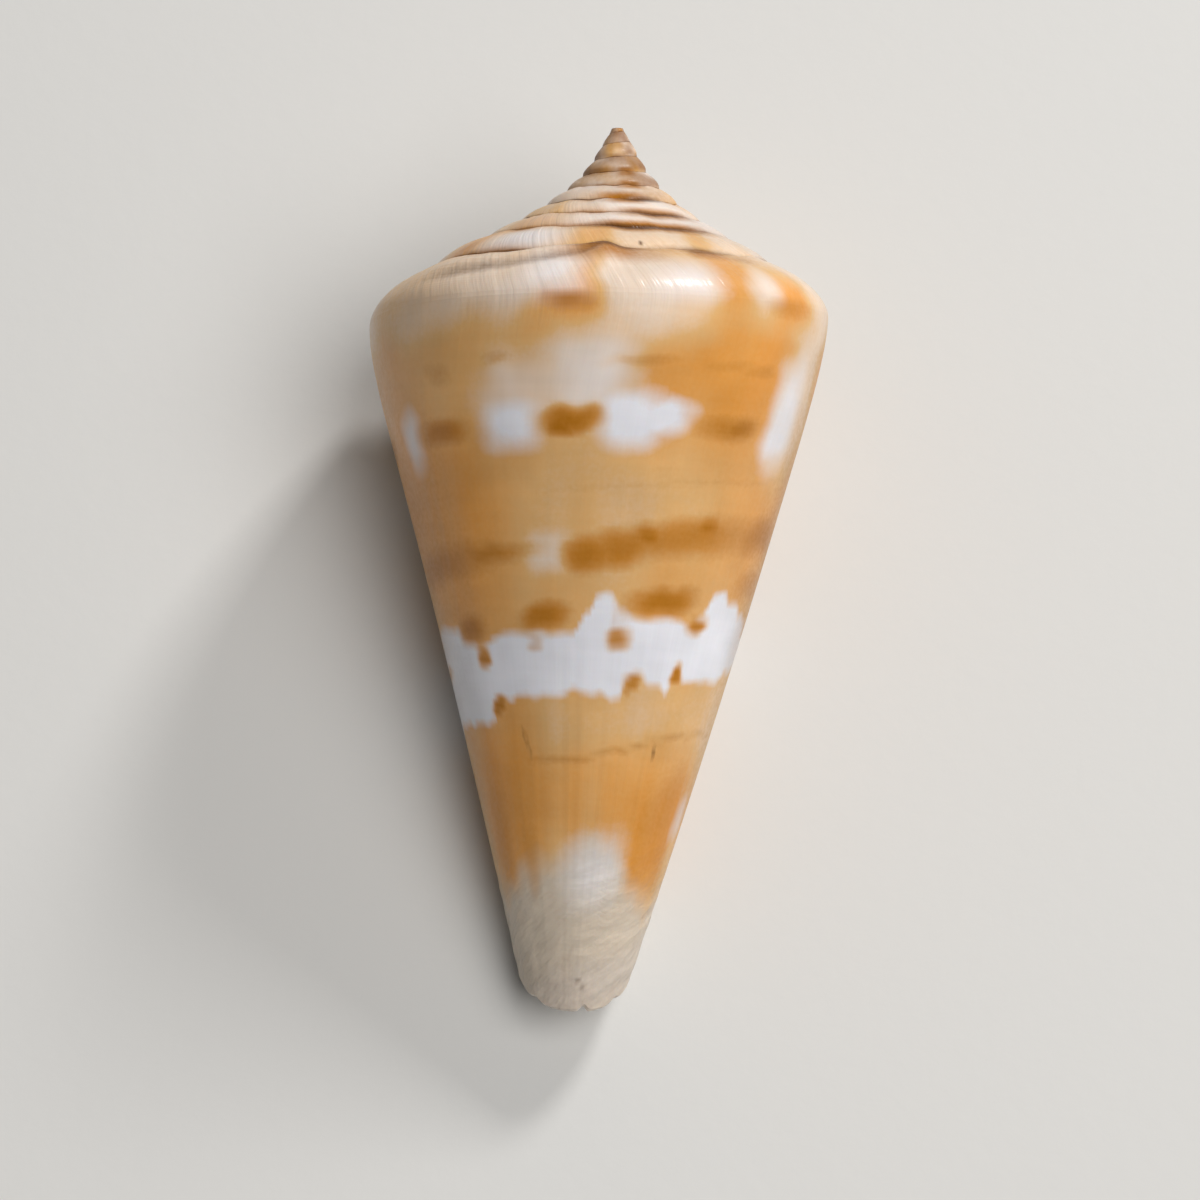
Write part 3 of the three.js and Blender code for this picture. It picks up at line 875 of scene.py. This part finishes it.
def paint(known):
    """Work out the masks of the colours for every spot, from 0 to 1."""
    turns, travel, inside = known["turns"], known["travel"], known["inside"]
    x, y, height = known["places"].T
    angle = np.degrees(np.arctan2(bow(height) - x, -y))
    nominal = np.degrees(position_angle(turns))
    angle = angle + 360 * np.round((nominal - angle) / 360)
    line = growth_line(turns, travel)
    chance = np.random.default_rng(17)

    ragged_angle = angle + mark_noise("angle", angle, height)
    ragged_height = height + mark_noise("height", angle, height)
    on_last = turns <= LAST_WHORL
    meet = travel_at_next_suture(turns)
    down = travel / np.where(on_last, 1, meet)
    to_next = np.where(on_last, FAR, np.abs(meet - travel))
    side = smoothstep(travel + mark_noise("side_start", angle), *SIDE_START) * on_last
    on_side = (ragged_angle, ragged_height, ROW_CLIMB_PER_TURN / 360)
    on_ramp = (ragged_angle, down, 0)
    nothing = np.zeros_like(angle)

    hidden_tones = [mark for row in HIDDEN_TONES for mark in hidden_row(chance, *row)]
    side_tone = mark_noise("side_tone", angle, height)
    side_tone = with_marks(side_tone, *on_side, (*SIDE_TONES, *hidden_tones))
    ramp_tone = with_marks(mark_noise("ramp_tone", line, travel), *on_ramp, RAMP_TONES)
    tone = lerp(ramp_tone, side_tone, side) + mark_noise("tone_lines", line, height)

    shoulder_row = hidden_row(chance, *HIDDEN_SHOULDER_ROW)
    hidden_browns = [mark for row in HIDDEN_BROWNS for mark in hidden_row(chance, *row)]
    # The browns also hold the painted shade of the side's left and right edges
    browns_and_edge_shade = (*SIDE_BROWNS_AND_EDGE_SHADE, *shoulder_row, *hidden_browns)
    brown_and_edge_shade = with_spots(nothing, *on_side, browns_and_edge_shade)
    halos = [
        (mark[0], mark[1], mark[2] * HALO_SIZE, mark[3] * HALO_SIZE, HALO_SOFTNESS,
         min(1, mark[5] * HALO_STRENGTH))
        for mark in browns_and_edge_shade
    ]
    halo = with_spots(nothing, *on_side, halos) * side
    tone = np.maximum(tone, HALO_TONE * halo)
    off_line = height - line_height(THIN_LINE, angle)
    line_there = smoothstep(angle, *THIN_LINE_START) * (1 - smoothstep(angle, *THIN_LINE_END))
    thin_line = THIN_LINE_VALUE * np.exp(-(off_line / THIN_LINE_WIDTH) ** 2) * line_there
    mottled = MOTTLING * smoothstep(mark_noise("mottling", angle, height), *MOTTLED_ABOVE)
    mottled = mottled * (1 - smoothstep(height, *MOTTLED_HEIGHTS))
    brown_and_edge_shade = np.maximum(np.maximum(brown_and_edge_shade, thin_line), mottled)
    blotches = np.clip(mark_noise("blotches", line), 0, 1)
    in_seam = blotches * np.minimum(1, beside_seams(SEAM_BROWN, travel, to_next))
    worn = np.clip(mark_noise("wear", line, travel), 0, 1) * smoothstep(turns, *WORN_TURNS)
    ramp_brown = np.maximum(with_spots(nothing, *on_ramp, RAMP_BROWNS), in_seam)
    brown_and_edge_shade = lerp(np.maximum(ramp_brown, WORN_BROWN * worn), brown_and_edge_shade, side)

    # The break's groove is painted darker
    offset, there = fold_offset(turns, travel)
    broken = np.exp(-((offset - FOLD_GROOVE_AT) / BREAK_DARKENING_WIDTH) ** 2)
    broken = BREAK_DARKENING * broken * there * on_last
    # Thin dark lines along the seams: dirt, and painted shade in the seam's crease
    seam_dirt_and_shade = np.clip(mark_noise("seam_dirt_and_shade", line), 0, 1) * beside_seams(SEAM_DIRT_AND_SHADE, travel, to_next)
    ramp_stain_and_shade = np.maximum(seam_dirt_and_shade, with_spots(broken, *on_ramp, RAMP_STAINS_AND_SHADE))
    ramp_stain_and_shade = np.maximum(ramp_stain_and_shade, WORN_STAIN * worn)
    # On the side this mask also holds the painted shade of the left and right edges
    side_stain_and_shade = with_spots(nothing, angle, height, ROW_CLIMB_PER_TURN / 360, SIDE_STAINS_AND_SHADE)
    stain_and_shade = lerp(ramp_stain_and_shade, side_stain_and_shade, side)

    between = [(mark[0] - HIDDEN_WHITE_STEP, mark[1] - HIDDEN_WHITE_DROP) for mark in shoulder_row]
    between = [
        (*spot, *HIDDEN_WHITE) for spot in between if not SEEN_ANGLES[0] < spot[0] < SEEN_ANGLES[1]
    ]
    white_and_highlight = with_spots(nothing, *on_side, (*SIDE_WHITES, *between))
    jagged = mark_noise("band_edge", angle, height)
    top = line_height(BAND_TOP, angle) + jagged
    bottom = line_height(BAND_BOTTOM, angle) + jagged
    band = smoothstep(top - height, -BAND_SOFTNESS, BAND_SOFTNESS)
    band = band * smoothstep(height - bottom, -BAND_SOFTNESS, BAND_SOFTNESS)
    white_and_highlight = np.maximum(white_and_highlight, band) * (1 - halo)
    pale = PALE_WHORLS * smoothstep(mark_noise("paleness", line), *PALE_ABOVE)
    pale = pale * smoothstep(turns, *PALE_TURNS)
    # The ramp's whites include a painted highlight under the shoulder's shine
    white_and_highlight = lerp(with_spots(pale, *on_ramp, RAMP_WHITES_AND_HIGHLIGHT), white_and_highlight, side)

    fringe = line_height(BASE_TOP, angle) + mark_noise("base_edge", angle, height)
    base = smoothstep(fringe - height, -BASE_SOFTNESS, BASE_SOFTNESS) * on_last
    return {
        "tone": tone, "white_and_highlight": white_and_highlight, "base": base, "brown_and_edge_shade": brown_and_edge_shade, "stain_and_shade": stain_and_shade,
        "inside": inside, "line": line,
    }


# The materials

MASKS = ("tone", "white_and_highlight", "base", "brown_and_edge_shade", "stain_and_shade", "inside")
# Millimetres round the shoulder for one turn, so that the growth map is close to real size
GROWTH_MAP_TURN = 110
# Sockets of the Mix node that hold colours
COLOUR_A, COLOUR_B, COLOUR_OUT = 6, 7, 2
SHELL_IOR = 1.56
FRAY_BY_LINES = 0.02
FRAY_BY_GRAIN = 0.16
FRAY_MEAN = (FRAY_BY_LINES + FRAY_BY_GRAIN) / 2
# Where noise starts and stops to count, about its mean of a half
NOISE_LOW, NOISE_HIGH = 0.3, 0.7
WRINKLE_SLOPE = math.radians(10)
# Size of each pattern in millimetres, across and along the growth lines, and its detail
LINE_PATTERNS = (
    ("lines", 0.55, 6.0, 2.0),
    ("fine_lines", 0.2, 2.5, 1.0),
    ("threads", 12.0, 0.7, 2.0),
    ("wrinkles", 6.0, 0.95, 2.0),
)
SOLID_PATTERNS = (("clouds", 5.0, 2.0), ("grain", 0.35, 3.0))
# How much each pattern lightens and darkens the colours
TINTS = (("clouds", 0.07), ("lines", 0.01), ("threads", 0.012))
# Strengths that change with height: the growth lines grow stronger above the side and fade on the
# small whorls, and the wrinkles are on the base alone. Lowest and highest height, strength at each.
HEIGHT_STRENGTHS = (
    ("striae", (46, 53), (0.08, 1.0)),
    ("small_whorls", (56.5, 60), (1.0, 0.2)),
    ("wrinkled", (8, 14), (1.0, 0.0)),
)
# Depth of the bumps in millimetres
FINE_LINE_DEPTH, LINE_DEPTH, WRINKLE_DEPTH, THREAD_DEPTH = 0.012, 0.058, 0.15, 0.003
SMOOTHER, ROUGHER = 0.06, 0.08
# The polish where the skin is clean, and where stain and painted shade reach this much
POLISH, DULL_POLISH, DULL_STAIN_AND_SHADE = 0.38, 0.06, 0.4


def add_node(tree, kind, sockets, out=0, **settings):
    """Add a shader node, set or link its inputs and its settings, and return one of its outputs."""
    made = tree.nodes.new("ShaderNode" + kind)
    for name, value in settings.items():
        setattr(made, name, value)
    for socket, value in sockets.items():
        if isinstance(value, bpy.types.NodeSocket):
            tree.links.new(value, made.inputs[socket])
        else:
            made.inputs[socket].default_value = value
    return made.outputs[out]


def shade_shell(looks):
    """Mollusc shell, a lime with a dense crossed grain, tumbled smooth by the snail's own mantle.

    It gives the eye a soft polish over chalky depth, colours that lie under the surface, and fine
    lines left by each day's growth.
    """
    material = bpy.data.materials.new("polished_shell")
    material.use_nodes = True
    tree = material.node_tree
    shader = tree.nodes["Principled BSDF"]
    mask = {
        name: add_node(tree, "Attribute", {}, out="Fac", attribute_name=name) for name in MASKS
    }
    growth = add_node(tree, "UVMap", {}, uv_map="growth")
    solid = add_node(tree, "TexCoord", {}, out="Object")

    patterns = {}
    for name, across, along, detail in LINE_PATTERNS:
        slope = WRINKLE_SLOPE if name == "wrinkles" else 0
        turned = add_node(
            tree, "VectorRotate", {"Vector": growth, "Angle": -slope}, rotation_type="Z_AXIS"
        )
        scaled = add_node(
            tree, "Mapping", {"Vector": turned, "Scale": (1 / across, 1 / along, 1)}
        )
        patterns[name] = add_node(
            tree, "TexNoise", {"Vector": scaled, "Scale": 1.0, "Detail": detail},
            noise_dimensions="2D",
        )
    for name, size, detail in SOLID_PATTERNS:
        patterns[name] = add_node(
            tree, "TexNoise", {"Vector": solid, "Scale": 1 / (size * MM), "Detail": detail}
        )

    # Each mask is frayed by the growth lines and the grain, then drawn to an edge
    frayed = {}
    for name, low, high in (
        ("tone", 0.0, 1.0), ("white_and_highlight", 0.1, 0.9), ("base", 0.1, 0.9), ("brown_and_edge_shade", 0.1, 1.0),
        ("stain_and_shade", 0.1, 1.0),
    ):
        with_lines = add_node(
            tree, "Math", {0: patterns["lines"], 1: FRAY_BY_LINES, 2: mask[name]},
            operation="MULTIPLY_ADD"
        )
        with_grain = add_node(
            tree, "Math", {0: patterns["grain"], 1: FRAY_BY_GRAIN, 2: with_lines},
            operation="MULTIPLY_ADD"
        )
        frayed[name] = add_node(
            tree, "MapRange",
            {"Value": with_grain, "From Min": low + FRAY_MEAN, "From Max": high + FRAY_MEAN}
        )

    # Tone goes from cream to tan, and then on to orange
    to_tan, to_orange = (
        add_node(
            tree, "MapRange", {"Value": frayed["tone"], "From Min": low, "From Max": low + 0.5}
        )
        for low in (0.0, 0.5)
    )
    layers = (
        (to_tan, looks.tan),
        (to_orange, looks.orange),
        (frayed["base"], looks.base),
        (frayed["white_and_highlight"], looks.white_and_highlight),
        (frayed["brown_and_edge_shade"], looks.brown_and_edge_shade),
        (frayed["stain_and_shade"], looks.stain_and_shade),
        (mask["inside"], looks.mouth),
    )
    skin = (*looks.cream, 1)
    for share, paint_colour in layers:
        skin = add_node(
            tree, "Mix", {"Factor": share, COLOUR_A: skin, COLOUR_B: (*paint_colour, 1)},
            out=COLOUR_OUT, data_type="RGBA",
        )
    for name, strength in TINTS:
        shade = add_node(
            tree, "MapRange",
            {"Value": patterns[name], "From Min": NOISE_LOW, "From Max": NOISE_HIGH,
             "To Min": 1 - strength, "To Max": 1 + strength},
        )
        skin = add_node(
            tree, "Mix", {"Factor": 1.0, COLOUR_A: skin, COLOUR_B: shade},
            out=COLOUR_OUT, data_type="RGBA", blend_type="MULTIPLY",
        )

    gloss = add_node(
        tree, "MapRange",
        {"Value": patterns["grain"], "From Min": NOISE_LOW, "From Max": NOISE_HIGH,
         "To Min": looks.roughness - SMOOTHER, "To Max": looks.roughness + ROUGHER},
    )
    height = add_node(tree, "SeparateXYZ", {"Vector": growth}, out="Y")
    strength = {
        name: add_node(
            tree, "MapRange",
            {"Value": height, "From Min": heights[0], "From Max": heights[1],
             "To Min": ends[0], "To Max": ends[1]},
        )
        for name, heights, ends in HEIGHT_STRENGTHS
    }
    striae = add_node(
        tree, "Math", {0: strength["striae"], 1: strength["small_whorls"]}, operation="MULTIPLY"
    )
    bumps = {}
    for name, share, depth in (
        ("fine_lines", striae, FINE_LINE_DEPTH),
        ("lines", striae, LINE_DEPTH),
        ("wrinkles", strength["wrinkled"], WRINKLE_DEPTH),
        ("threads", 1.0, THREAD_DEPTH),
    ):
        bump = add_node(
            tree, "Bump",
            {"Height": patterns[name], "Strength": share, "Distance": depth * MM, **bumps},
        )
        bumps = {"Normal": bump}
    # Dirt and worn skin have lost the polish, and so has the painted shade in the same mask
    polish = add_node(
        tree, "MapRange",
        {"Value": frayed["stain_and_shade"], "From Min": 0.0, "From Max": DULL_STAIN_AND_SHADE,
         "To Min": POLISH, "To Max": DULL_POLISH},
    )
    tree.links.new(skin, shader.inputs["Base Color"])
    tree.links.new(gloss, shader.inputs["Roughness"])
    tree.links.new(bumps["Normal"], shader.inputs["Normal"])
    tree.links.new(bumps["Normal"], shader.inputs["Coat Normal"])
    tree.links.new(polish, shader.inputs["Coat Weight"])
    shader.inputs["IOR"].default_value = SHELL_IOR
    # The polish carries the shine. Under it the lime has nearly the same index, so it adds little.
    shader.inputs["Specular IOR Level"].default_value = 0.12
    shader.inputs["Coat Roughness"].default_value = 0.2
    shader.inputs["Subsurface Weight"].default_value = 0.12
    shader.inputs["Subsurface Radius"].default_value = (1.0, 0.6, 0.35)
    shader.inputs["Subsurface Scale"].default_value = 0.6 * MM
    return material


def shade_floor(looks):
    """Matt card, as a studio lays under small things: pale, even and a little fibrous."""
    material = bpy.data.materials.new("matt_card")
    material.use_nodes = True
    tree = material.node_tree
    shader = tree.nodes["Principled BSDF"]
    solid = add_node(tree, "TexCoord", {}, out="Object")
    fibres = add_node(
        tree, "TexNoise", {"Vector": solid, "Scale": 1 / (1.5 * MM), "Detail": 3.0}
    )
    bump = add_node(
        tree, "Bump", {"Height": fibres, "Strength": 1.0, "Distance": 0.02 * MM}
    )
    tree.links.new(bump, shader.inputs["Normal"])
    shader.inputs["Base Color"].default_value = (*looks.floor, 1)
    shader.inputs["Roughness"].default_value = 0.85
    return material


def colour_setting(name, description, code):
    return bpy.props.FloatVectorProperty(
        name=name, description=description, subtype="COLOR", default=linear(code), min=0, max=1
    )


class ConeShellSettings(bpy.types.PropertyGroup):
    """What a user would change about the shell's looks and its stage"""

    cream: colour_setting("Cream", "Palest colour of the coloured zones", "#EBD6C2")
    tan: colour_setting("Tan", "Main colour of the side", "#E2B377")
    orange: colour_setting("Orange", "Strongest colour of the flames and zones", "#E19843")
    # This colour also paints shade on the side's left and right edges
    brown_and_edge_shade: colour_setting("Brown", "Spots, dashes and stains along the seam", "#B27018")
    # Besides dirt and worn skin, this colour paints shade: dark lines in the seams' creases, shade under
    # the break's knob, and the side's darkened edges
    stain_and_shade: colour_setting("Stain", "Dirt and old skin left in the seams", "#573418")
    # This colour also paints part of the shoulder's highlight
    white_and_highlight: colour_setting("White", "The band and the white patches", "#EDECF1")
    base: colour_setting("Base", "The pale base with its cords", "#D6C6B2")
    mouth: colour_setting("Mouth", "Smooth porcelain inside the mouth", "#EFE7DE")
    roughness: bpy.props.FloatProperty(
        name="Roughness", description="Mean roughness of the skin, lower is glossier",
        default=0.4, min=0.1, max=1, subtype="FACTOR",
    )
    floor: colour_setting("Floor", "Colour of the studio floor", "#DCDAD6")
    key_power: bpy.props.FloatProperty(
        name="Key Light", description="Power of the small light beyond the shoulder", default=3.3,
        min=0, unit="POWER",
    )
    window_power: bpy.props.FloatProperty(
        name="Window Light", description="Power of the broad light on the right", default=5.0,
        min=0, unit="POWER",
    )


class CONE_SHELL_OT_grow(bpy.types.Operator):
    """Grow the shell as one closed mesh with its markings"""

    bl_idname = "cone_shell.grow"
    bl_label = "Grow Shell"

    def execute(self, context):
        mesh = bpy.data.meshes.new("shell_skin")
        bm = bmesh.new()
        known = grow(bm)
        open_edges = sum(1 for edge in bm.edges if not edge.is_manifold)
        if open_edges:
            raise RuntimeError(f"The shell's skin isn't closed: {open_edges} open edges")
        bm.to_mesh(mesh)
        bm.free()
        numbers = np.empty(len(mesh.loops), np.int32)
        mesh.attributes["corner_spot"].data.foreach_get("value", numbers)
        for name in ("vertex_spot", "corner_spot"):
            mesh.attributes.remove(mesh.attributes[name])
        masks = paint(known)
        for name in MASKS:
            values = np.clip(masks[name][numbers], 0, 1).astype(np.float32)
            mesh.attributes.new(name, "FLOAT", "CORNER").data.foreach_set("value", values)
        across = masks["line"][numbers] * GROWTH_MAP_TURN
        growth = np.stack([across, known["places"][numbers, 2]], axis=-1)
        growth_map = mesh.uv_layers.new(name="growth")
        growth_map.uv.foreach_set("vector", growth.astype(np.float32).ravel())
        mesh.materials.append(shade_shell(context.scene.cone_shell))
        skin = bpy.data.objects.new("shell_skin", mesh)
        context.scene.collection.objects.link(skin)
        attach(skin, "root")
        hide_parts("shell")
        return {"FINISHED"}


CAMERA_TARGET = Vector((0, 0, 0.012))
CAMERA_ELEVATION = math.radians(73)
CAMERA_DISTANCE = 0.35
CAMERA_LEAN = math.radians(2.74)
PHOTO_SIZE = 1200
PIXELS_PER_METRE = 13678
TARGET_PIXEL = (586.8, 561.0)
SENSOR = 36
# Where the photograph's light comes from, worked out from the highlight on its shoulder
KEY_PLACE = Vector((0.34, 0.58, 0.4))
KEY_SIZE = 0.15
WINDOW_PLACE = Vector((0.3, -0.1, 0.74))
WINDOW_SIZE = 0.6
AIR_BRIGHTNESS = 0.08
FLOOR_SIZE = 1.5


class CONE_SHELL_OT_stage(bpy.types.Operator):
    """Set a pale floor, soft studio lights and the camera"""

    bl_idname = "cone_shell.stage"
    bl_label = "Set Stage"

    def execute(self, context):
        scene, looks = context.scene, context.scene.cone_shell
        bm = bmesh.new()
        bmesh.ops.create_grid(bm, x_segments=1, y_segments=1, size=FLOOR_SIZE)
        mesh = bpy.data.meshes.new("studio_floor")
        bm.to_mesh(mesh)
        bm.free()
        mesh.materials.append(shade_floor(looks))
        floor = bpy.data.objects.new("studio_floor", mesh)
        scene.collection.objects.link(floor)

        away = Vector((0, -math.cos(CAMERA_ELEVATION), math.sin(CAMERA_ELEVATION)))
        right = Vector((1, 0, 0))
        lean = Matrix.Rotation(CAMERA_LEAN, 3, away)
        right, up = lean @ right, lean @ away.cross(right)
        middle = PHOTO_SIZE / 2
        offset = right * (middle - TARGET_PIXEL[0]) - up * (middle - TARGET_PIXEL[1])
        data = bpy.data.cameras.new("camera")
        data.sensor_width = SENSOR
        data.sensor_fit = "HORIZONTAL"
        data.lens = SENSOR * CAMERA_DISTANCE * PIXELS_PER_METRE / PHOTO_SIZE
        camera = bpy.data.objects.new("camera", data)
        scene.collection.objects.link(camera)
        place = CAMERA_TARGET + offset / PIXELS_PER_METRE + away * CAMERA_DISTANCE
        turn = Matrix((right, up, away)).transposed().to_4x4()
        camera.matrix_world = Matrix.Translation(place) @ turn
        scene.camera = camera

        for name, place, size, power in (
            ("key_light", KEY_PLACE, KEY_SIZE, looks.key_power),
            ("window_light", WINDOW_PLACE, WINDOW_SIZE, looks.window_power),
        ):
            lamp = bpy.data.lights.new(name, "AREA")
            lamp.size = size
            lamp.energy = power
            light = bpy.data.objects.new(name, lamp)
            light.location = place
            light.rotation_euler = (-place).to_track_quat("-Z", "Y").to_euler()
            # The broad light gives no shine, as if it were polarised, so that the colours stay deep
            light.visible_glossy = name == "key_light"
            scene.collection.objects.link(light)
        world = bpy.data.worlds.new("studio_air")
        world.use_nodes = True
        air = world.node_tree.nodes["Background"]
        air.inputs["Color"].default_value = (AIR_BRIGHTNESS,) * 3 + (1,)
        scene.world = world
        scene.view_settings.view_transform = "Standard"
        return {"FINISHED"}


class CONE_SHELL_PT_panel(bpy.types.Panel):
    """The shell, its stage and what can be changed about them"""

    bl_idname = "CONE_SHELL_PT_panel"
    bl_label = "Cone Shell"
    bl_space_type = "VIEW_3D"
    bl_region_type = "UI"
    bl_category = "Shell"

    def draw(self, context):
        layout = self.layout
        for name in ConeShellSettings.__annotations__:
            layout.prop(context.scene.cone_shell, name)
        layout.operator(CONE_SHELL_OT_grow.bl_idname)
        layout.operator(CONE_SHELL_OT_stage.bl_idname)


CLASSES = (ConeShellSettings, CONE_SHELL_OT_grow, CONE_SHELL_OT_stage, CONE_SHELL_PT_panel)


def register():
    for kind in CLASSES:
        bpy.utils.register_class(kind)
    bpy.types.Scene.cone_shell = bpy.props.PointerProperty(type=ConeShellSettings)


def unregister():
    del bpy.types.Scene.cone_shell
    for kind in reversed(CLASSES):
        bpy.utils.unregister_class(kind)


def main():
    register()
    bpy.ops.cone_shell.grow()
    bpy.ops.cone_shell.stage()


if __name__ == "__main__":
    main()
